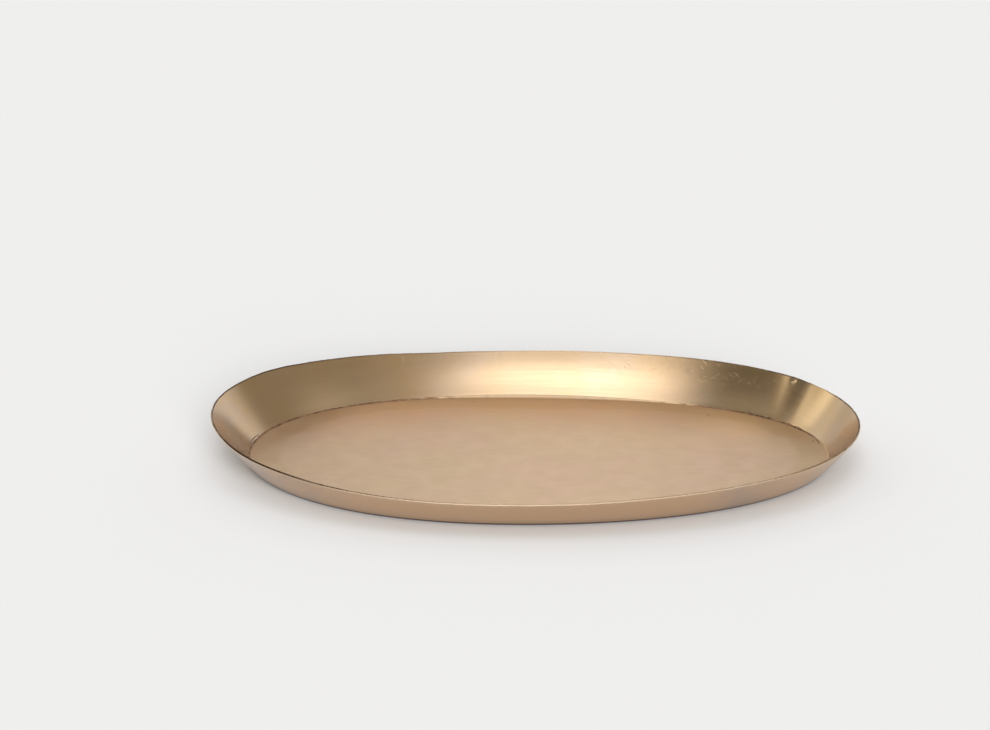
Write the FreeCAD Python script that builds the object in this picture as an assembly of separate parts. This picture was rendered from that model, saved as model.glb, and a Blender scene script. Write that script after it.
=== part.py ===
"""Oval brass tray, brazed together from thin sheet.

A flat floor plate, two wall strips that stand round it at one steep flare, and the brazing alloy
that joins them: one run in the inside corner and one butt joint at each meeting of the two strips.
The tray rests on the plane z = 0 with its length along X and its front towards -Y. Millimetres.
"""
import FreeCAD, Part
import math
import os

# ---- driving dimensions -----------------------------------------------------------------------

SHEET = 1.0                     # thickness of the brass sheet, floor and wall alike

# Outline of the underside: an ellipse, pushed in and out a little by hand work.
# A ripple is (lobes round the tray, size, place of its first lobe in degrees).
HALF_LENGTH = 135.6
HALF_WIDTH = 72.6
OUTLINE_RIPPLES = [(3, 2.0, 18.0), (4, 1.25, 45.0)]

# The wall leans outward at one slope all round. Its height differs from place to place.
SLOPE = math.radians(51.5)      # above the horizontal
MEAN_HEIGHT = 17.9              # of the rim's outer edge
HEIGHT_RIPPLES = [(1, 2.5, 119.0), (2, 1.3, -8.0), (3, 0.8, 61.0)]

# The two butt joints of the wall, as places on the ellipse counted from +X towards +Y.
RIGHT_SEAM = math.radians(32.3)
LEFT_SEAM = math.radians(117.6)
SEAM_WIDTH = 0.8                # brazing alloy between the ends of the strips

CORNER_LEG = 0.8                # how far the corner braze covers the floor and climbs the wall

STEP = math.radians(3.0)        # largest step between two points that guide a curve

# ---- derived ----------------------------------------------------------------------------------

CUT = SHEET / math.sin(SLOPE)   # thickness of the wall along a level line
UP = FreeCAD.Vector(0, 0, 1)


def ripple(ripples, angle):
    """Sum of the ripples at one place on the ellipse."""
    return sum(size * math.cos(lobes * (angle - math.radians(first))) for lobes, size, first in ripples)


def outline(angle):
    """Point of the underside's outline."""
    along = HALF_LENGTH * math.cos(angle)
    across = HALF_WIDTH * math.sin(angle)
    normal = FreeCAD.Vector(along / HALF_LENGTH ** 2, across / HALF_WIDTH ** 2, 0).normalize()
    return FreeCAD.Vector(along, across, 0) + normal * ripple(OUTLINE_RIPPLES, angle)


def outward(angle):
    """Level unit vector pointing straight out of the outline."""
    tiny = 1e-4
    tangent = outline(angle + tiny) - outline(angle - tiny)
    return FreeCAD.Vector(tangent.y, -tangent.x, 0).normalize()


def uphill(angle):
    """Unit vector that climbs the wall."""
    return outward(angle) * math.cos(SLOPE) + UP * math.sin(SLOPE)


def seam_turn(angle):
    """Turn along the ellipse that covers half a seam's width."""
    pace = (outline(angle + STEP) - outline(angle - STEP)).Length / (2 * STEP)
    return SEAM_WIDTH / 2 / pace


# ---- the lines that the faces are ruled between: each gives one point at a place on the ellipse ----

def outer_foot(angle):
    return outline(angle)


def inner_foot(angle):
    return outline(angle) - outward(angle) * CUT


def outer_rim(angle):
    height = MEAN_HEIGHT + ripple(HEIGHT_RIPPLES, angle)
    return outline(angle) + uphill(angle) * (height / math.sin(SLOPE))


def inner_rim(angle):
    """The rim is cut square to the sheet, so its inner edge stands a little higher."""
    inward = UP * math.cos(SLOPE) - outward(angle) * math.sin(SLOPE)
    return outer_rim(angle) + inward * SHEET


def corner(angle):
    """Where the wall's inner face meets the top of the floor."""
    return inner_foot(angle) + uphill(angle) * CUT


def braze_on_wall(angle):
    return corner(angle) + uphill(angle) * CORNER_LEG


def braze_on_floor(angle):
    return corner(angle) - outward(angle) * CORNER_LEG


# ---- solids -----------------------------------------------------------------------------------

def ring_edge(line):
    """Closed smooth edge through a line, all the way round the tray."""
    count = round(2 * math.pi / STEP)
    curve = Part.BSplineCurve()
    curve.interpolate(Points=[line(2 * math.pi * i / count) for i in range(count)], PeriodicFlag=True)
    return curve.toShape()


def open_edge(line, start, end):
    """Smooth edge through part of a line."""
    count = max(2, math.ceil((end - start) / STEP))
    curve = Part.BSplineCurve()
    curve.interpolate(Points=[line(start + (end - start) * i / count) for i in range(count + 1)])
    return curve.toShape()


def sewn_solid(faces):
    """Solid bounded by faces that meet along their edges."""
    shell = Part.makeShell(faces)
    shell.sewShape()
    solid = Part.makeSolid(shell)
    if solid.Volume < 0:
        solid.reverse()
    return solid


def ring_solid(lines):
    """Closed ring whose cross-section has one corner on each line."""
    edges = [ring_edge(line) for line in lines]
    return sewn_solid([Part.makeRuledSurface(edges[i - 1], edges[i]) for i in range(len(edges))])


def strip_solid(lines, start, end):
    """Stretch of a ring between two places, with flat ends."""
    edges = [open_edge(line, start, end) for line in lines]
    faces = [Part.makeRuledSurface(edges[i - 1], edges[i]) for i in range(len(edges))]
    for place in (start, end):
        corners = [line(place) for line in lines]
        faces.append(Part.Face(Part.makePolygon(corners + corners[:1])))
    return sewn_solid(faces)


WALL_LINES = [outer_foot, outer_rim, inner_rim, inner_foot]


def floor_plate():
    """Flat oval sheet whose edge is dressed to the slope of the wall."""
    underside = ring_edge(inner_foot)
    top = ring_edge(corner)
    return sewn_solid([
        Part.Face(Part.Wire([underside])),
        Part.Face(Part.Wire([top])),
        Part.makeRuledSurface(underside, top),
    ])


def wall_strip(start_seam, end_seam):
    """Strip of sheet from one butt joint to the next."""
    return strip_solid(WALL_LINES, start_seam + seam_turn(start_seam), end_seam - seam_turn(end_seam))


def seam_braze(seam):
    """Brazing alloy that fills a butt joint, dressed flush with the strips."""
    return strip_solid(WALL_LINES, seam - seam_turn(seam), seam + seam_turn(seam))


def corner_braze():
    """Run of brazing alloy in the inside corner, all the way round."""
    return ring_solid([corner, braze_on_wall, braze_on_floor])


NODES = {
    "floor_plate": floor_plate(),
    "wall_strip_back": wall_strip(RIGHT_SEAM, LEFT_SEAM),
    "wall_strip_front": wall_strip(LEFT_SEAM, RIGHT_SEAM + 2 * math.pi),
    "seam_braze_left": seam_braze(LEFT_SEAM),
    "seam_braze_right": seam_braze(RIGHT_SEAM),
    "corner_braze": corner_braze(),
}

# The origin lies under the middle of the whole tray, on the plane that it rests on.
middle = Part.makeCompound(list(NODES.values())).optimalBoundingBox().Center

os.makedirs("parts", exist_ok=True)
for name, solid in NODES.items():
    solid.translate(FreeCAD.Vector(-middle.x, -middle.y, 0))
    if not (solid.isValid() and solid.isClosed()):
        raise RuntimeError(f"{name} is not a valid closed solid")
    solid.exportStep(f"parts/{name}.step")
    print(f"{name}: {solid.Volume:.0f} mm3, top {solid.BoundBox.ZMax:.2f}")
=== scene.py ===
"""Looks of the oval brass tray: hand-worked sheet, a ragged braze in the corner, and a soft studio.

Every CAD node is rebuilt from the same outline formula with the finish of the real sheet: worn
edges, swells and dents, brush marks and patina, with painted shade, reflections and highlights on
the rim, at the foot and on the floor. Metres; the tray's length lies along X, its front towards -Y,
and it rests on z = 0. A place on the tray is an angle on its ellipse, from +X to +Y.
"""
import bpy
import math
import numpy as np
from mathutils import Matrix, Vector


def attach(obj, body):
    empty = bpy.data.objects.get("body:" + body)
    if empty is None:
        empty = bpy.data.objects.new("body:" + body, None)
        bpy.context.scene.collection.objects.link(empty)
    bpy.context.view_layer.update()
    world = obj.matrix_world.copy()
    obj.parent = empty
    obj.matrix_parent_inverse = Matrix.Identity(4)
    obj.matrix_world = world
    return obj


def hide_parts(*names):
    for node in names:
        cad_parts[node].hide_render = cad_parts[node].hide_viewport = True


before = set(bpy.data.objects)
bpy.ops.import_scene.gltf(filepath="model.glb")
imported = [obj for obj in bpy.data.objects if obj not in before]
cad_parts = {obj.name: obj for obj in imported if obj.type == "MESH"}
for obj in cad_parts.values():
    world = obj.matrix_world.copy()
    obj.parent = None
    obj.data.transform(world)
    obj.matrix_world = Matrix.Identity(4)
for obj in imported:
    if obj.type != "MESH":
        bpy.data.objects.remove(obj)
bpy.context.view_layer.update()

MM = 0.001

# ---- the tray's driving dimensions, the same as the frame's ---------------------------------

SHEET = 1.0 * MM
HALF_LENGTH = 135.6 * MM
HALF_WIDTH = 72.6 * MM
OUTLINE_RIPPLES = [(3, 2.0 * MM, 18.0), (4, 1.25 * MM, 45.0)]      # (lobes, size, first lobe)
SLOPE = math.radians(51.5)
MEAN_HEIGHT = 17.9 * MM
HEIGHT_RIPPLES = [(1, 2.5 * MM, 119.0), (2, 1.3 * MM, -8.0), (3, 0.8 * MM, 61.0)]
RIGHT_SEAM = 32.3
LEFT_SEAM = 117.6
SEAM_WIDTH = 0.8 * MM

# ---- hand work that only shows in the finish -------------------------------------------------

EDGE_ROUND = 0.2 * MM           # wear on the edges of the cut rim
FOOT_ROUND = 0.1 * MM           # wear on the edge that the tray stands on
BOW = 0.32 * MM                 # how far the wall is bowed outward halfway up
LONG_WAVES = 0.10 * MM          # slow bends of the rim, in and out
COARSE_CUT = 0.05 * MM          # unevenness that the shears left on the rim
FINE_CUT = 0.03 * MM

# Swells of the wall: (place, half-width in degrees, size); it leans out there, or in if negative.
SWELLS = [
    (20.5, 7.0, 1.00 * MM),
    (29.3, 2.0, 0.25 * MM),
    (33.1, 2.9, -0.95 * MM),
    (41.0, 4.0, -0.15 * MM),
]

# Where the wall is bowed more than elsewhere: (place, half-width in degrees, extra bow).
DEEP_BOW = [(86.0, 30.0, 0.22 * MM)]

# Uneven cut of the rim: (place, half-width in degrees, extra height).
RIM_SWELLS = [(83.0, 10.0, 0.35 * MM), (112.0, 7.0, -0.45 * MM), (148.0, 8.0, 0.5 * MM)]

# Dents beside the joints: (place, distance below the rim, half-width along, half-width up, depth).
DENTS = [
    (32.9, 1.6 * MM, 1.0 * MM, 1.2 * MM, 0.45 * MM),
    (LEFT_SEAM, 2.5 * MM, 0.45 * MM, 1.5 * MM, 0.04 * MM),
]

# Finish of the wall, where each row is (place, half-width in degrees, share). First where the rim's
# painted dark reflection is left off, and where it is painted darker.
RIM_WITHOUT_PAINTED_DARK = [(85.0, 30.0, 0.85), (25.0, 3.5, 1.0), (272.0, 26.0, 0.75), (318.0, 18.0, 0.5)]
RIM_WITH_MORE_PAINTED_DARK = [(214.0, 19.0, 0.6)]

# Then the grey-pink film that lies on both ends, a greyer, darker stretch at the front left, and
# where the inner face is scratched.
FILM = [(357.0, 17.0, 0.75), (184.0, 22.0, 0.75), (210.0, 20.0, 0.6), (311.0, 7.0, 0.5)]
MOST_FILM = 0.85
SCRATCHED = [(52.0, 17.0, 0.9), (126.0, 12.0, 0.2)]
SCRATCHED_EVERYWHERE = 0.2

# The floor isn't quite flat: low waves run across it in all directions.
WAVE_COUNT = 14
WAVE_HEIGHT = 0.0004            # of each wave, as a share of its length


# ---- outline ---------------------------------------------------------------------------------

def ripple(ripples, angle):
    """Sum of the ripples at each angle."""
    return sum(size * np.cos(lobes * (angle - math.radians(first)))
               for lobes, size, first in ripples)


def unit(vectors):
    """The same directions, one metre long."""
    return vectors / np.linalg.norm(vectors, axis=-1, keepdims=True)


def ellipse_outline(angle):
    """Points of the underside's outline, about the middle of its ellipse."""
    level = np.stack([HALF_LENGTH * np.cos(angle), HALF_WIDTH * np.sin(angle)], -1)
    normal = unit(level / np.array([HALF_LENGTH, HALF_WIDTH]) ** 2)
    return level + normal * ripple(OUTLINE_RIPPLES, angle)[..., None]


def outward(angle):
    """Level unit vector pointing straight out of the outline."""
    tiny = 1e-4
    tangent = ellipse_outline(angle + tiny) - ellipse_outline(angle - tiny)
    return unit(np.stack([tangent[..., 1], -tangent[..., 0]], -1))


def slant_height(angle):
    """Length of the wall's outer face, measured up the slope."""
    return (MEAN_HEIGHT + ripple(HEIGHT_RIPPLES, angle)) / math.sin(SLOPE)


def rim_middle():
    """Middle of the rim's box, which lies over the frame's origin."""
    angle = np.linspace(0, 2 * math.pi, 7200)
    reach = slant_height(angle) * math.cos(SLOPE)
    rim = ellipse_outline(angle) + outward(angle) * reach[:, None]
    return (rim.min(0) + rim.max(0)) / 2


MIDDLE = rim_middle()


def outline(angle):
    """Points of the underside's outline, in the frame."""
    return ellipse_outline(angle) - MIDDLE


def metres_per_degree(place, reach):
    """Pace of the outline at a place, measured over that many degrees on each side."""
    ends = outline(np.radians([place - reach, place + reach]))
    return np.linalg.norm(ends[1] - ends[0]) / (2 * reach)


def length_along(angle):
    """Running length of the outline at each of a row of angles."""
    steps = np.linalg.norm(np.diff(outline(angle), axis=0), axis=1)
    return np.concatenate([[0.0], np.cumsum(steps)])


# ---- unevenness ------------------------------------------------------------------------------

def hump(distance, half_width):
    """Smooth bump, 1 in its middle."""
    return np.exp(-(distance / half_width) ** 2)


def turn_from(angle, place):
    """Signed turn in degrees from a place, the short way round."""
    return (np.degrees(angle) - place + 180) % 360 - 180


def waver(angle, seed, lobes):
    """Closed uneven curve round the tray, about -1 to 1, from a range of lobe counts."""
    dice = np.random.default_rng(seed)
    counts = np.arange(*lobes)
    sizes = dice.normal(size=len(counts))
    starts = dice.uniform(0, 2 * math.pi, len(counts))
    total = sum(s * np.cos(n * angle + p) for s, n, p in zip(sizes, counts, starts))
    return total / math.sqrt(len(counts))


def swells(angle, table):
    """Sum of the humps in a table of (place, half-width in degrees, size)."""
    return sum(size * hump(turn_from(angle, place), width) for place, width, size in table)


def climb_of_rim(angle):
    """Slant height as the rim was really cut."""
    cut_marks = COARSE_CUT * waver(angle, 11, (40, 90)) + FINE_CUT * waver(angle, 12, (150, 320))
    return slant_height(angle) + swells(angle, RIM_SWELLS) + cut_marks


def hand_work(angle, climb):
    """How far the wall stands outside its ideal face at each climb. Nothing at the foot."""
    rim = climb_of_rim(angle)
    share = np.clip(climb / rim, 0, 1)
    # A swell starts just above the foot and grows towards the rim.
    lean = (0.2 + 0.8 * share ** 1.2) * np.minimum(share * 8, 1) * swells(angle, SWELLS)
    broad = LONG_WAVES * share * waver(angle, 21, (6, 17))
    bow = (BOW + swells(angle, DEEP_BOW)) * np.sin(math.pi * share)
    dents = 0
    for place, below, half_along, half_up, depth in DENTS:
        along = turn_from(angle, place) * metres_per_degree(place, 0.5)
        dents = dents + depth * hump(along, half_along) * hump(rim - climb - below, half_up)
    return lean + broad + bow + dents


def wall_points(angle, climb, depth):
    """Points of the wall: climb up the outer face from z = 0, depth into the sheet."""
    out = outward(angle)
    push = hand_work(angle, climb)
    across = climb * math.cos(SLOPE) - (depth - push) * math.sin(SLOPE)
    height = climb * math.sin(SLOPE) + (depth - push) * math.cos(SLOPE)
    level = outline(angle) + out * across[..., None]
    return np.concatenate([level, height[..., None]], -1)


# ---- meshes ----------------------------------------------------------------------------------

STRIP_STEP = 0.25               # degrees between two stations of the wall
SEAM_STEP = 0.05
SHARP = math.radians(50)        # edges that turn more than this aren't smoothed


def mesh_piece(name, points, faces, material, uv, values):
    """Smooth mesh that rides on the tray. uv has one pair per face corner, values one per point."""
    mesh = bpy.data.meshes.new(name)
    mesh.from_pydata(points.tolist(), [], faces)
    mesh.shade_smooth()
    mesh.set_sharp_from_angle(angle=SHARP)
    mesh.uv_layers.new(name="UVMap").data.foreach_set("uv", np.asarray(uv, np.float32).ravel())
    for key, numbers in values.items():
        layer = mesh.attributes.new(key, "FLOAT", "POINT")
        layer.data.foreach_set("value", np.asarray(numbers, np.float32).ravel())
    mesh.materials.append(material)
    mesh.validate()
    piece = bpy.data.objects.new(name, mesh)
    bpy.context.scene.collection.objects.link(piece)
    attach(piece, "root")
    return piece


def loop_faces(stations, rows, closed):
    """Quads between neighbouring loops of rows points, with flat caps if the ring is open."""
    faces = []
    for i in range(stations if closed else stations - 1):
        a, b = i * rows, ((i + 1) % stations) * rows
        for j in range(rows):
            k = (j + 1) % rows
            faces.append((a + j, b + j, b + k, a + k))
    if not closed:
        last = (stations - 1) * rows
        faces.append(tuple(range(rows)))
        faces.append(tuple(last + j for j in reversed(range(rows))))
    return faces


def loop_uv(along, around, closed):
    """UV of each corner of loop_faces, in metres: along the ring, round its section."""
    stations, rows = len(along) - (1 if closed else 0), len(around) - 1
    pairs = []
    for i in range(stations if closed else stations - 1):
        for j in range(rows):
            pairs += [(along[i], around[j]), (along[i + 1], around[j]),
                      (along[i + 1], around[j + 1]), (along[i], around[j + 1])]
    if not closed:
        pairs += [(along[0], around[j]) for j in range(rows)]
        pairs += [(along[-1], around[j]) for j in reversed(range(rows))]
    return pairs


def face_rows(foot, rim):
    """Climbs of the rows on one face of the wall, close together near the rim."""
    near_rim = np.array([6.0, 4.8, 3.8, 3.0, 2.4, 1.9, 1.5, 1.1, 0.8, 0.5, 0.35]) * MM
    top = rim - near_rim[0]
    spread = [foot + (top - foot) * share for share in np.linspace(0, 1, 11)]
    return spread + [rim - distance for distance in near_rim[1:]]


def wall_section(rim):
    """Loop round the wall's cross-section: (climb, depth) of each row, for each station's rim."""
    rounding = [(math.sin(turn), 1 - math.cos(turn)) for turn in np.radians([0, 30, 60, 90])]
    # The worn foot, the outer face, the rim with its two worn edges, the inner face, the underside.
    rows = [(FOOT_ROUND * 0.4, FOOT_ROUND * 0.5), (FOOT_ROUND * 0.8, FOOT_ROUND * 0.12)]
    rows += [(climb, 0.0) for climb in face_rows(FOOT_ROUND * 1.3, rim)]
    rows += [(rim - EDGE_ROUND * (1 - lift), EDGE_ROUND * inset) for lift, inset in rounding]
    rows += [(rim, EDGE_ROUND + (SHEET - 2 * EDGE_ROUND) * share) for share in (0.2, 0.4, 0.6, 0.8)]
    rows += [(rim - EDGE_ROUND * (1 - lift), SHEET - EDGE_ROUND * inset)
             for lift, inset in reversed(rounding)]
    rows += [(climb, SHEET) for climb in reversed(face_rows(-SHEET / math.tan(SLOPE), rim))]
    rows.append((-FOOT_ROUND / math.tan(SLOPE), FOOT_ROUND))
    climb = np.stack([np.broadcast_to(climb, rim.shape) for climb, _ in rows], -1)
    depth = np.array([depth for _, depth in rows])
    return climb, np.broadcast_to(depth, climb.shape)


def wall_piece(name, start, end, material, step):
    """Stretch of the wall between two places in degrees, replacing the CAD node of that name."""
    count = max(4, math.ceil((end - start) / step))
    angle = np.radians(np.linspace(start, end, count + 1))
    rim = climb_of_rim(angle)
    climb, depth = wall_section(rim)
    grid = np.broadcast_to(angle[:, None], climb.shape)
    points = wall_points(grid, climb, depth)
    points[..., 2] = np.maximum(points[..., 2], 0)          # nothing is below the table
    along = length_along(angle)
    around = np.concatenate([climb[0], climb[0, :1]])
    values = {
        "climb": climb,
        "below_rim": rim[:, None] - climb,
        "depth": depth / SHEET,
        # share of the painted dark reflection along the rim
        "painted_rim_dark": 1 - np.clip(swells(grid, RIM_WITHOUT_PAINTED_DARK), 0, 1) + swells(grid, RIM_WITH_MORE_PAINTED_DARK),
        "film": np.clip(swells(grid, FILM), 0, MOST_FILM),
        "scratched": SCRATCHED_EVERYWHERE + swells(grid, SCRATCHED),
    }
    faces = loop_faces(len(angle), climb.shape[1], False)
    uv = loop_uv(along, around, False)
    piece = mesh_piece(name, points.reshape(-1, 3), faces, material, uv, values)
    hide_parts(name.removesuffix("_worked"))


def seam_turn(place):
    """Half of a joint's width, in degrees."""
    return SEAM_WIDTH / 2 / metres_per_degree(place, 1.0)


def corner_line(angle):
    """Level place where the wall's inner face meets the top of the floor."""
    return outline(angle) - outward(angle) * SHEET * (1 - math.cos(SLOPE)) / math.sin(SLOPE)


def level_foot_line(angle):
    """Level place where the floor's dressed edge meets z = 0."""
    return outline(angle) - outward(angle) * SHEET / math.sin(SLOPE)


# ---- floor -----------------------------------------------------------------------------------

def floor_waves(level):
    """Height of the floor's waves at each level place."""
    dice = np.random.default_rng(31)
    total = np.zeros(level.shape[:-1])
    for _ in range(WAVE_COUNT):
        heading, start = dice.uniform(0, 2 * math.pi, 2)
        wavelength = dice.uniform(22, 70) * MM
        along = level[..., 0] * math.cos(heading) + level[..., 1] * math.sin(heading)
        total += wavelength * np.sin(2 * math.pi * along / wavelength + start)
    return total * WAVE_HEIGHT


def disc_faces(rings, stations):
    """Quads between neighbouring rings, and fans to the two middle points that come after them."""
    faces = []
    for ring in range(rings - 1):
        for i in range(stations):
            a, b = ring * stations + i, ring * stations + (i + 1) % stations
            faces.append((a, a + stations, b + stations, b))
    last = (rings - 1) * stations
    top_middle, under_middle = rings * stations, rings * stations + 1
    for i in range(stations):
        j = (i + 1) % stations
        faces.append((top_middle, i, j))
        faces.append((under_middle, last + j, last + i))
    return faces


def floor_piece(material):
    """Floor plate: a top that is a little uneven, a dressed edge and a flat underside."""
    stations, top_rings, under_rings = 720, 60, 12
    angle = np.linspace(0, 2 * math.pi, stations, endpoint=False)
    centre = -MIDDLE
    rings, heights, inset = [], [], []
    edge, foot = corner_line(angle), level_foot_line(angle)
    for share in np.linspace(0, 1, top_rings + 1)[1:]:
        level = centre + (edge - centre) * share
        rings.append(level)
        heights.append(SHEET + floor_waves(level) * (1 - share ** 6))       # level at the edge
        inset.append(np.linalg.norm(edge - level, axis=1))
    for share in np.linspace(1, 0, under_rings + 1)[:-1]:
        rings.append(centre + (foot - centre) * share)
        heights.append(np.zeros(stations))
        inset.append(np.linalg.norm(foot - centre, axis=1) * (1 - share))
    points = np.concatenate([np.array(rings), np.array(heights)[..., None]], -1).reshape(-1, 3)
    middle_top = (*centre, SHEET + floor_waves(centre))
    points = np.concatenate([points, [middle_top], [(*centre, 0.0)]])
    inset = np.concatenate([np.array(inset).ravel(), [HALF_WIDTH, HALF_WIDTH]])
    faces = disc_faces(len(rings), stations)
    uv = points[np.concatenate(faces), :2]
    piece = mesh_piece("floor_sheet", points, faces, material, uv,
                       {"from_edge": inset})
    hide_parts("floor_plate")


# ---- braze in the corner ---------------------------------------------------------------------

# Where the alloy is left dark and ragged: (place, half-width in degrees, share). Elsewhere it is
# scraped smooth and polished with the wall.
RAGGED_BRAZE = [(36.0, 21.0, 1.0), (8.0, 7.0, 0.3), (134.0, 24.0, 0.9), (170.0, 20.0, 0.9)]

# How far it reaches up the wall and over the floor, and where it is wider because there was more
# alloy or because it was polished: (place, half-width in degrees, extra reach).
REACH = 0.35 * MM
WIDE_BRAZE = [(30.0, 14.0, 0.40 * MM), (160.0, 16.0, 0.30 * MM)]
POLISHED_BRAZE = [(88.0, 24.0, 1.1 * MM)]

SUNK = 0.03 * MM                # how far the edges of the braze lie under the sheet's surface
BURIED = 0.15 * MM              # the same for its hidden back


def ragged_share(angle):
    """How ragged the alloy was left, from 0 to 1."""
    return np.clip(swells(angle, RAGGED_BRAZE), 0, 1)


def braze_legs(angle):
    """How far the alloy reaches up the wall and over the floor, with bites where it is ragged."""
    ragged = ragged_share(angle)
    bite_up = 0.3 * waver(angle, 41, (60, 200)) + 0.3 * waver(angle, 42, (250, 500))
    bite_out = 0.3 * waver(angle, 43, (60, 200)) + 0.3 * waver(angle, 44, (250, 500))
    spread = REACH + swells(angle, POLISHED_BRAZE) + swells(angle, WIDE_BRAZE)
    up = spread * (1 + np.clip(bite_up, -0.7, 0.9) * ragged)
    out = spread * (1 + np.clip(bite_out, -0.7, 0.9) * ragged)
    return up, out


def braze_point(angle, up, out, lift):
    """Point over the corner: up the wall or out over the floor, and lift off the surface."""
    out_dir = outward(angle)
    across = up * math.cos(SLOPE) - out - lift * math.sin(SLOPE) * (up > 0)
    height = SHEET + up * math.sin(SLOPE) + lift * np.where(up > 0, math.cos(SLOPE), 1)
    level = corner_line(angle) + out_dir * across[..., None]
    return np.concatenate([level, height[..., None]], -1)


def corner_braze_piece(material):
    """Ragged fillet all the way round, a hollow curve between the wall and the floor."""
    stations = 2400
    angle = np.linspace(0, 2 * math.pi, stations, endpoint=False)
    up, out = braze_legs(angle)
    none = np.zeros(stations)
    on_floor = braze_point(angle, none, out, none - SUNK)
    on_wall = braze_point(angle, up, none, none - SUNK)
    pulled = braze_point(angle, up * 0.12 + 0.02 * MM, out * 0.12, none)
    buried = braze_point(angle, none, none, none - BURIED)
    loop = []
    # The section's front is a curve from the floor to the wall, pulled towards the corner.
    for share in np.linspace(0, 1, 7):
        rest = 1 - share
        loop.append(on_floor * rest ** 2 + pulled * 2 * share * rest + on_wall * share ** 2)
    loop.append(buried)
    points = np.stack(loop, 1)
    along = length_along(np.append(angle, 2 * math.pi))
    around = np.linspace(0, 3 * MM, points.shape[1] + 1)
    faces = loop_faces(stations, points.shape[1], True)
    uv = loop_uv(along, around, True)
    piece = mesh_piece("corner_fillet", points.reshape(-1, 3), faces, material, uv,
                       {"ragged": np.repeat(ragged_share(angle), points.shape[1])})
    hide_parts("corner_braze")


# Thin runs that strayed from the corner: (start, end, start and end distance, bow, half-width).
# A distance is up the wall, or over the floor if negative.
STRAY_RUNS = [
    (17.0, 11.0, -0.2 * MM, -1.4 * MM, 0.3 * MM, 0.28 * MM),
    (16.0, 13.0, -0.9 * MM, -2.2 * MM, -0.9 * MM, 0.22 * MM),
    (163.0, 174.0, 1.2 * MM, 1.0 * MM, 0.5 * MM, 0.22 * MM),
]

# Their section: (across, lift) in half-widths. Both edges are sunk under the sheet's surface.
RUN_CREST = [(-0.6, 0.35), (0, 0.5), (0.6, 0.35)]
RUN_SUNK = 0.04 * MM


def stray_run(name, start, end, near, far, bow, half_width, material):
    """Thread of alloy that lies on the wall or on the floor beside the corner."""
    share = np.linspace(0, 1, 60)
    angle = np.radians(start + (end - start) * share)
    distance = near + (far - near) * share + bow * np.sin(math.pi * share)
    size = half_width * np.sqrt(np.clip(np.sin(math.pi * share), 0.02, 1))
    size = size * (1 + 0.3 * waver(angle, 51, (100, 400)))
    crest = [(distance + side * size, lift * size) for side, lift in RUN_CREST]
    loop = []
    for place, lift in [(distance - size, -RUN_SUNK), *crest, (distance + size, -RUN_SUNK)]:
        loop.append(braze_point(angle, np.maximum(place, 0), np.maximum(-place, 0), lift))
    points = np.stack(loop, 1)
    along = length_along(angle)
    faces = loop_faces(len(angle), points.shape[1], False)
    uv = loop_uv(along, np.linspace(0, MM, points.shape[1] + 1), False)
    mesh_piece(name, points.reshape(-1, 3), faces, material, uv,
               {"ragged": np.ones(points.shape[:2])})


# ---- node graphs -----------------------------------------------------------------------------

def node(tree, kind, settings=None, inputs=None):
    """New node with its settings, and its inputs by name or number, linked or set."""
    made = tree.nodes.new(kind)
    for key, value in (settings or {}).items():
        setattr(made, key, value)
    for key, value in (inputs or {}).items():
        if isinstance(value, bpy.types.NodeSocket):
            tree.links.new(value, made.inputs[key])
        else:
            made.inputs[key].default_value = value
    return made


def calc(tree, operation, a, b=0.0):
    """Math of one or two values."""
    return node(tree, "ShaderNodeMath", {"operation": operation}, {0: a, 1: b}).outputs[0]


def product(tree, first, *others):
    """All the values multiplied."""
    for other in others:
        first = calc(tree, "MULTIPLY", first, other)
    return first


def vector_calc(tree, operation, inputs):
    """Vector math node."""
    return node(tree, "ShaderNodeVectorMath", {"operation": operation}, inputs)


def distance_from(tree, place, middle):
    """Distance of each place from a middle."""
    return vector_calc(tree, "DISTANCE", {0: place, 1: middle}).outputs["Value"]


def levels(tree, value, low, high, first=0.0, last=1.0):
    """Smooth step of a value from one range to another."""
    made = node(tree, "ShaderNodeMapRange", {"interpolation_type": "SMOOTHSTEP"},
                {0: value, 1: low, 2: high, 3: first, 4: last})
    return made.outputs[0]


def mix(tree, share, a, b, mode="MIX"):
    """Colour a turned into b, or multiplied by it, by a share."""
    made = node(tree, "ShaderNodeMix", {"data_type": "RGBA", "blend_type": mode},
                {0: share, 6: (*a, 1) if isinstance(a, tuple) else a,
                 7: (*b, 1) if isinstance(b, tuple) else b})
    return made.outputs[2]


def grain(tree, place, scales, detail=3.0, rough=0.55, turn=0.0):
    """Noise with its own scale, per metre, along each direction of a place turned about Z."""
    point = {"vector_type": "POINT"}
    turned = node(tree, "ShaderNodeMapping", point, {0: place, 2: (0, 0, turn)})
    scaled = node(tree, "ShaderNodeMapping", point, {0: turned.outputs[0], 3: scales})
    made = node(tree, "ShaderNodeTexNoise", {"noise_dimensions": "3D"},
                {"Vector": scaled.outputs[0], "Scale": 1.0, "Detail": detail, "Roughness": rough})
    return made.outputs[0]


def scratches(tree, place):
    """Scattered hair scratches: contour lines of stretched noise, in two directions."""
    total = None
    for turn, scales in ((0.55, (30, 560, 1)), (-0.8, (35, 620, 1))):
        waves = grain(tree, place, scales, 1.0, 0.5, turn)
        from_contour = calc(tree, "ABSOLUTE", calc(tree, "SUBTRACT", waves, 0.5))
        line = levels(tree, from_contour, 0.0, 0.022, 1.0, 0.0)
        here = levels(tree, grain(tree, place, (170, 170, 1), 2.0, 0.5, turn), 0.48, 0.66)
        marks = product(tree, line, here)
        total = marks if total is None else calc(tree, "MAXIMUM", total, marks)
    return total


def value_of(tree, name):
    """Value that mesh_piece stored at each point."""
    return node(tree, "ShaderNodeAttribute", {"attribute_name": name}).outputs["Fac"]


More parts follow.
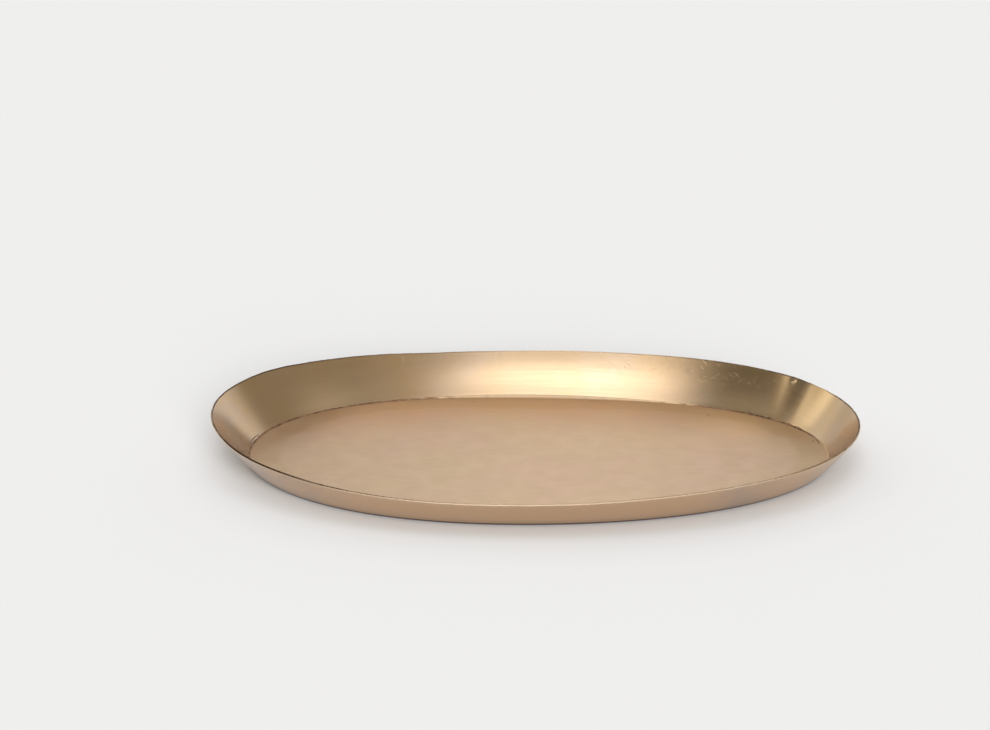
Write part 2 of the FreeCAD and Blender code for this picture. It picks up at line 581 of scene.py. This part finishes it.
def relief(tree, height, depth, below=None):
    """Bump of a height from 0 to 1, that many metres deep."""
    inputs = {"Strength": 1.0, "Distance": depth, "Height": height}
    if below is not None:
        inputs["Normal"] = below
    return node(tree, "ShaderNodeBump", None, inputs).outputs[0]


def metal(name):
    """Material with a plain metal shader, to be linked up: (material, tree, shader)."""
    material = bpy.data.materials.new(name)
    material.use_nodes = True
    tree = material.node_tree
    shader = tree.nodes["Principled BSDF"]
    shader.inputs["Metallic"].default_value = 1.0
    return material, tree, shader


# Colours of the brass, and of what lies on it.
BRASS = (0.585, 0.416, 0.264)
PINK_BRASS = (0.585, 0.401, 0.274)
PALE_BRASS = (0.592, 0.442, 0.300)
GOLDEN_BRASS = (0.585, 0.401, 0.225)
OLIVE_BRASS = (0.480, 0.338, 0.180)
OUTSIDE_BRASS = (0.700, 0.488, 0.315)
# colour of the painted highlight on the rim's outer edge
RIM_HIGHLIGHT_BRASS = (0.780, 0.600, 0.430)
FILM_BRASS = (0.480, 0.398, 0.350)
BROWN = (0.170, 0.080, 0.035)
# colour of the painted dark reflection on the rim
PAINTED_RIM_DARK_BROWN = (0.050, 0.022, 0.012)
# colour of the painted contact shadow at the foot
FOOT_SHADOW_BROWN = (0.085, 0.022, 0.008)
BURNT = (0.100, 0.055, 0.032)
LESS_BURNT = (0.260, 0.150, 0.085)
BEAD_TOPS = (0.380, 0.220, 0.130)

FLOOR_SPECK = (83 * MM, 48 * MM, SHEET)         # one small dark speck
# Patches of painted light on the floor, (middle, reach, tint): painted shade where darker, a
# painted reflection of the far right window where brighter.
PAINTED_FLOOR_PATCHES = [
    ((70 * MM, 50 * MM, SHEET), 34 * MM, (0.86, 0.88, 0.87)),
    ((112 * MM, 34 * MM, SHEET), 38 * MM, (1.16, 1.18, 1.17)),
]
BRIGHTEST_PLACE = 15 * MM       # along the tray; the floor's painted highlight is brightest there, with painted shade towards both ends
PAINTED_END_SHADE = (0.80, 0.80, 0.82)


def floor_colour(tree, place, mottle, speck):
    """Mottled patina with one small dark speck; darker along the corner by a painted reflection of
    the wall, darker towards the ends by painted shade, and with patches of painted shade and
    painted reflection.
    """
    cloud = grain(tree, place, (18, 18, 18), 4.0)
    colour = mix(tree, levels(tree, cloud, 0.38, 0.62), BRASS, PINK_BRASS)
    colour = mix(tree, levels(tree, mottle, 0.45, 0.7, 0.0, 0.35), colour, PALE_BRASS)
    colour = mix(tree, levels(tree, speck, 0.3, 0.45, 0.12, 0.0), colour, OLIVE_BRASS)
    edge = value_of(tree, "from_edge")
    # painted reflection of the wall: a darker olive band along the corner, with a ragged edge
    ragged = product(tree, calc(tree, "SUBTRACT", mottle, 0.5), 8 * MM)
    painted_wall_reflection = levels(tree, calc(tree, "ADD", edge, ragged), 12 * MM, 16 * MM, 0.4, 0.0)
    colour = mix(tree, painted_wall_reflection, colour, OLIVE_BRASS)
    along = node(tree, "ShaderNodeSeparateXYZ", None, {0: place}).outputs[0]
    from_brightest = calc(tree, "ABSOLUTE", calc(tree, "SUBTRACT", along, BRIGHTEST_PLACE))
    # painted shade: the floor darkens from its brightest place towards both ends
    duller = levels(tree, from_brightest, 0.0, 140 * MM, 0.0, 0.9)
    colour = mix(tree, duller, colour, PAINTED_END_SHADE, "MULTIPLY")
    # patches of painted shade and painted reflection
    for middle, reach, tint in PAINTED_FLOOR_PATCHES:
        patch = levels(tree, distance_from(tree, place, middle), 0.0, reach, 1.0, 0.0)
        colour = mix(tree, patch, colour, tint, "MULTIPLY")
    blot = product(tree, levels(tree, edge, 0.0, 14 * MM, 0.18, 0.0),
                   levels(tree, cloud, 0.5, 0.65))
    colour = mix(tree, blot, colour, BROWN)
    dot = levels(tree, distance_from(tree, place, FLOOR_SPECK), 0.3 * MM, 0.8 * MM, 0.85, 0.0)
    return mix(tree, dot, colour, BROWN)


def floor_brass():
    """Satin sheet with a mottled patina and faint rubbing marks along X."""
    material, tree, shader = metal("floor_brass")
    place = node(tree, "ShaderNodeTexCoord").outputs["Object"]
    mottle = grain(tree, place, (95, 95, 95), 4.0, 0.65)
    speck = grain(tree, place, (900, 900, 900), 2.0)
    rubbed = grain(tree, place, (60, 520, 60), 3.0)
    tree.links.new(floor_colour(tree, place, mottle, speck), shader.inputs["Base Color"])
    rough = calc(tree, "ADD", levels(tree, mottle, 0.35, 0.65, 0.32, 0.41),
                 levels(tree, rubbed, 0.4, 0.6, -0.02, 0.02))
    tree.links.new(rough, shader.inputs["Roughness"])
    normal = relief(tree, rubbed, 0.012 * MM)
    normal = relief(tree, speck, 0.006 * MM, normal)
    tree.links.new(normal, shader.inputs["Normal"])
    return material


def painted_rim_dark_line(tree, below_rim, depth, speck, cloud):
    """Share of painted dark reflection: a line on the cut rim and its inner edge."""
    wear = value_of(tree, "painted_rim_dark")
    on_rim = levels(tree, below_rim, 0.35 * MM, 0.8 * MM, 1.0, 0.0)
    shifted = calc(tree, "ADD", depth, levels(tree, wear, 1.0, 1.5, 0.0, 0.3))
    inner = levels(tree, shifted, 0.40, 0.55)
    uneven = levels(tree, calc(tree, "ADD", speck, cloud), 0.8, 1.1, 0.6, 1.0)
    return product(tree, on_rim, inner, wear, uneven)


def painted_foot_shadow(tree, outside):
    """Share of painted contact shadow at the foot of the outer face: a dark line, then faint
    painted shade above it.
    """
    climb = value_of(tree, "climb")
    line = levels(tree, climb, 0.8 * MM, 1.8 * MM, 0.92, 0.0)
    haze = levels(tree, climb, 0.5 * MM, 6 * MM, 0.13, 0.0)
    return product(tree, calc(tree, "ADD", line, haze), outside)


def sheet_colour(tree, place, cloud, streak, brushed, outside):
    """Brushed brass, paler outside, under a grey-pink film at the ends."""
    colour = mix(tree, levels(tree, cloud, 0.35, 0.65), GOLDEN_BRASS, BRASS)
    colour = mix(tree, outside, colour, OUTSIDE_BRASS)
    colour = mix(tree, levels(tree, streak, 0.35, 0.6, 0.06, 0.0), colour, OLIVE_BRASS)
    colour = mix(tree, levels(tree, brushed, 0.3, 0.5, 0.08, 0.0), colour, OLIVE_BRASS)
    mottle = grain(tree, place, (85, 85, 85), 4.0, 0.65)
    film = product(tree, value_of(tree, "film"), levels(tree, mottle, 0.42, 0.56, 0.35, 1.0))
    return mix(tree, film, colour, FILM_BRASS)


def wall_scratches(tree, flat, below_rim, outside):
    """Scratches of the inner face only, most of them near the rim."""
    inside = calc(tree, "SUBTRACT", 1.0, outside)
    near_rim = levels(tree, below_rim, 6 * MM, 14 * MM, 1.0, 0.3)
    return product(tree, scratches(tree, flat), inside, value_of(tree, "scratched"), near_rim)


def wall_brass():
    """Sheet brushed along its length, with a painted dark reflection and a painted highlight on the
    cut rim, and painted contact shadow at the foot.
    """
    material, tree, shader = metal("wall_brass")
    flat = node(tree, "ShaderNodeUVMap", {"uv_map": "UVMap"}).outputs[0]
    place = node(tree, "ShaderNodeTexCoord").outputs["Object"]
    brushed = grain(tree, flat, (45, 2600, 1), 4.0, 0.7)
    streak = grain(tree, flat, (30, 900, 1), 3.0)
    cloud = grain(tree, place, (28, 28, 28), 4.0)
    speck = grain(tree, place, (700, 700, 700), 2.0)
    below_rim = value_of(tree, "below_rim")
    depth = value_of(tree, "depth")
    outside = levels(tree, depth, 0.5, 0.9, 1.0, 0.0)
    painted_rim_dark = painted_rim_dark_line(tree, below_rim, depth, speck, cloud)
    # painted highlight: the outer half of the cut rim is made paler
    painted_rim_highlight = product(tree, levels(tree, below_rim, 0.2 * MM, 0.4 * MM, 1.0, 0.0),
                    levels(tree, depth, 0.35, 0.45, 0.85, 0.0))
    colour = sheet_colour(tree, place, cloud, streak, brushed, outside)
    # painted contact shadow and painted shade at the foot of the outer face
    colour = mix(tree, painted_foot_shadow(tree, outside), colour, FOOT_SHADOW_BROWN)
    colour = mix(tree, painted_rim_highlight, colour, RIM_HIGHLIGHT_BRASS)
    # painted dark reflection along the cut rim and its inner edge
    colour = mix(tree, painted_rim_dark, colour, PAINTED_RIM_DARK_BROWN)
    tree.links.new(colour, shader.inputs["Base Color"])
    marks = wall_scratches(tree, flat, below_rim, outside)
    rough = levels(tree, streak, 0.35, 0.65, 0.215, 0.24)
    rough = calc(tree, "ADD", rough, product(tree, painted_rim_dark, 0.2))
    rough = calc(tree, "ADD", rough, product(tree, marks, 0.10))
    tree.links.new(rough, shader.inputs["Roughness"])
    normal = relief(tree, brushed, 0.0009 * MM)
    normal = relief(tree, speck, 0.006 * MM, normal)
    normal = relief(tree, marks, 0.012 * MM, normal)
    tree.links.new(normal, shader.inputs["Normal"])
    return material


def corner_braze_metal():
    """Brazing alloy: burnt brown and beaded where it is ragged, brass where it is polished."""
    material, tree, shader = metal("corner_braze")
    place = node(tree, "ShaderNodeTexCoord").outputs["Object"]
    patch = grain(tree, place, (160, 160, 160), 4.0)
    beads = grain(tree, place, (1100, 1100, 1100), 3.0)
    burnt = mix(tree, levels(tree, patch, 0.35, 0.6), BURNT, LESS_BURNT)
    burnt = mix(tree, levels(tree, beads, 0.5, 0.7), burnt, BEAD_TOPS)
    polished = mix(tree, levels(tree, patch, 0.35, 0.65), GOLDEN_BRASS, BRASS)
    ragged = calc(tree, "ADD", value_of(tree, "ragged"), levels(tree, patch, 0.3, 0.7, -0.25, 0.25))
    ragged = levels(tree, ragged, 0.15, 0.6)
    tree.links.new(mix(tree, ragged, polished, burnt), shader.inputs["Base Color"])
    rough = levels(tree, beads, 0.3, 0.7, 0.38, 0.30)
    rough = calc(tree, "ADD", rough, product(tree, ragged, 0.15))
    tree.links.new(rough, shader.inputs["Roughness"])
    tree.links.new(relief(tree, product(tree, beads, ragged), 0.05 * MM), shader.inputs["Normal"])
    return material


def seam_braze_brass():
    """Alloy in a butt joint, dressed flush: the sheet's colour, with small dark pits."""
    material, tree, shader = metal("seam_braze")
    place = node(tree, "ShaderNodeTexCoord").outputs["Object"]
    patch = grain(tree, place, (220, 220, 220), 4.0)
    pits = grain(tree, place, (1400, 1400, 1400), 2.0)
    colour = mix(tree, levels(tree, patch, 0.35, 0.65), GOLDEN_BRASS, BRASS)
    colour = mix(tree, levels(tree, pits, 0.66, 0.74, 0.0, 0.4), colour, BROWN)
    tree.links.new(colour, shader.inputs["Base Color"])
    tree.links.new(levels(tree, patch, 0.3, 0.7, 0.21, 0.25), shader.inputs["Roughness"])
    tree.links.new(relief(tree, pits, 0.012 * MM), shader.inputs["Normal"])
    return material


# ---- studio ----------------------------------------------------------------------------------

# Soft lamps painted on the sky: (direction, inner angle, outer angle in degrees, colour added).
SKY = (0.37, 0.34, 0.28)
LAMPS = [
    ((0.0, 1.0, 0.35), 12.0, 60.0, (0.72, 0.76, 0.80)),             # pale wall behind the tray
    ((-0.19, -0.545, 0.82), 0.0, 11.5, (1.10, 1.06, 1.08)),         # key lamp, left end
    ((-0.09, -0.555, 0.83), 1.0, 12.5, (1.80, 2.05, 2.45)),         # key lamp, bright middle
    ((0.00, -0.550, 0.84), 0.0, 10.5, (0.85, 0.85, 0.95)),          # key lamp, right end
    ((0.20, -0.53, 0.83), 2.0, 14.0, (0.14, 0.14, 0.14)),           # soft glow to its right
    ((-0.80, 0.36, 0.45), 8.0, 24.0, (0.50, 0.54, 0.56)),           # wall at the far left
    ((-0.83, 0.15, 0.54), 4.0, 13.0, (0.85, 0.88, 0.78)),           # window in that wall
    ((0.70, 0.64, 0.31), 9.0, 17.0, (0.30, 0.31, 0.33)),            # window at the far right
    ((0.0, 0.05, 1.00), 8.0, 30.0, (0.70, 0.74, 0.82)),             # long lamp overhead, middle
    ((0.0, 0.22, 0.975), 3.0, 18.0, (0.40, 0.42, 0.52)),            # its brightest part
    ((0.40, -0.02, 0.91), 5.0, 23.0, (0.75, 0.80, 0.86)),           # its right end
    ((-0.40, -0.02, 0.91), 5.0, 23.0, (0.75, 0.80, 0.86)),          # its left end
    ((0.20, -0.91, 0.38), 6.0, 20.0, (1.40, 1.42, 1.48)),           # low lamp in front
    ((-0.53, -0.38, 0.755), 7.0, 20.0, (-0.22, -0.195, -0.16)),     # dark gap between lamps
]

# Broad soft lamp for the table alone.
FILL_DIRECTION = (0.20, -0.90, 0.38)
FILL_POWER = 3.0
FILL_COLOUR = (1.0, 1.0, 1.01)
FILL_WIDTH = math.radians(35)

TABLE_SIZE = 6.0
TABLE_DROP = 0.3 * MM           # below the foot, which leaves a thin dark line of contact
TABLE_WHITE = (0.715, 0.712, 0.712, 1)


def studio_sky():
    """World of a dim warm room with the soft lamps in it."""
    world = bpy.data.worlds.new("studio")
    bpy.context.scene.world = world
    world.use_nodes = True
    tree = world.node_tree
    generated = node(tree, "ShaderNodeTexCoord").outputs["Generated"]
    looking = vector_calc(tree, "NORMALIZE", {0: generated}).outputs[0]
    total = SKY
    for direction, inner, outer, colour in LAMPS:
        towards = vector_calc(tree, "DOT_PRODUCT", {0: looking, 1: Vector(direction).normalized()})
        share = levels(tree, towards.outputs["Value"],
                       math.cos(math.radians(outer)), math.cos(math.radians(inner)))
        scaled = vector_calc(tree, "SCALE", {0: colour, "Scale": share})
        total = vector_calc(tree, "ADD", {0: total, 1: scaled.outputs[0]}).outputs[0]
    tree.links.new(total, tree.nodes["Background"].inputs["Color"])


def table_fill():
    """Soft low lamp in front that opens the table's shadows, and isn't mirrored in the brass."""
    data = bpy.data.lights.new("table_fill", "SUN")
    data.energy = FILL_POWER
    data.color = FILL_COLOUR
    data.angle = FILL_WIDTH
    lamp = bpy.data.objects.new("table_fill", data)
    lamp.rotation_euler = Vector(FILL_DIRECTION).to_track_quat("Z", "Y").to_euler()
    lamp.visible_glossy = False
    bpy.context.scene.collection.objects.link(lamp)


def studio_floor():
    """White table that the tray stands on."""
    bpy.ops.mesh.primitive_plane_add(size=TABLE_SIZE, location=(0, 0, -TABLE_DROP))
    table = bpy.context.object
    table.name = "table"
    material = bpy.data.materials.new("table_white")
    material.use_nodes = True
    shader = material.node_tree.nodes["Principled BSDF"]
    shader.inputs["Base Color"].default_value = TABLE_WHITE
    shader.inputs["Roughness"].default_value = 1.0
    shader.inputs["Specular IOR Level"].default_value = 0.0
    table.data.materials.append(material)


CAMERA_DISTANCE = 1.2
CAMERA_RISE = math.radians(24.0)
CAMERA_LENS = 94.2
CAMERA_TURNS = (2.03, 0.913, 0.25)      # tilt up, pan left and roll, in degrees


def camera():
    """Long lens in front of the tray, aimed past its middle so it sits low and to the right."""
    data = bpy.data.cameras.new("camera")
    data.sensor_width = 36.0
    data.lens = CAMERA_LENS
    data.clip_end = 20.0
    eye = bpy.data.objects.new("camera", data)
    bpy.context.scene.collection.objects.link(eye)
    tilt, pan, roll = (math.radians(turn) for turn in CAMERA_TURNS)
    aim = Matrix.Rotation(math.pi / 2 - CAMERA_RISE, 4, "X")
    turns = (Matrix.Rotation(pan, 4, "Y") @ Matrix.Rotation(tilt, 4, "X")
             @ Matrix.Rotation(roll, 4, "Z"))
    position = Vector((-MIDDLE[0], -MIDDLE[1] - CAMERA_DISTANCE * math.cos(CAMERA_RISE),
                       CAMERA_DISTANCE * math.sin(CAMERA_RISE)))
    eye.matrix_world = Matrix.Translation(position) @ aim @ turns
    bpy.context.scene.camera = eye


# ---- the tray --------------------------------------------------------------------------------

wall_metal = wall_brass()
corner_metal = corner_braze_metal()
seam_metal = seam_braze_brass()

# Each joint reaches half its width to both sides of its place, and the strips fill the rest.
right_turn, left_turn = seam_turn(RIGHT_SEAM), seam_turn(LEFT_SEAM)
right_start, right_end = RIGHT_SEAM - right_turn, RIGHT_SEAM + right_turn
left_start, left_end = LEFT_SEAM - left_turn, LEFT_SEAM + left_turn

floor_piece(floor_brass())
wall_piece("wall_strip_back_worked", right_end, left_start,
           wall_metal, STRIP_STEP)
wall_piece("wall_strip_front_worked", left_end, right_start + 360,
           wall_metal, STRIP_STEP)
wall_piece("seam_braze_right_worked", right_start, right_end, seam_metal, SEAM_STEP)
wall_piece("seam_braze_left_worked", left_start, left_end, seam_metal, SEAM_STEP)
corner_braze_piece(corner_metal)
for number, run in enumerate(STRAY_RUNS, 1):
    stray_run(f"stray_braze_{number}", *run, corner_metal)

studio_floor()
studio_sky()
table_fill()
camera()
bpy.context.scene.view_settings.view_transform = "Standard"
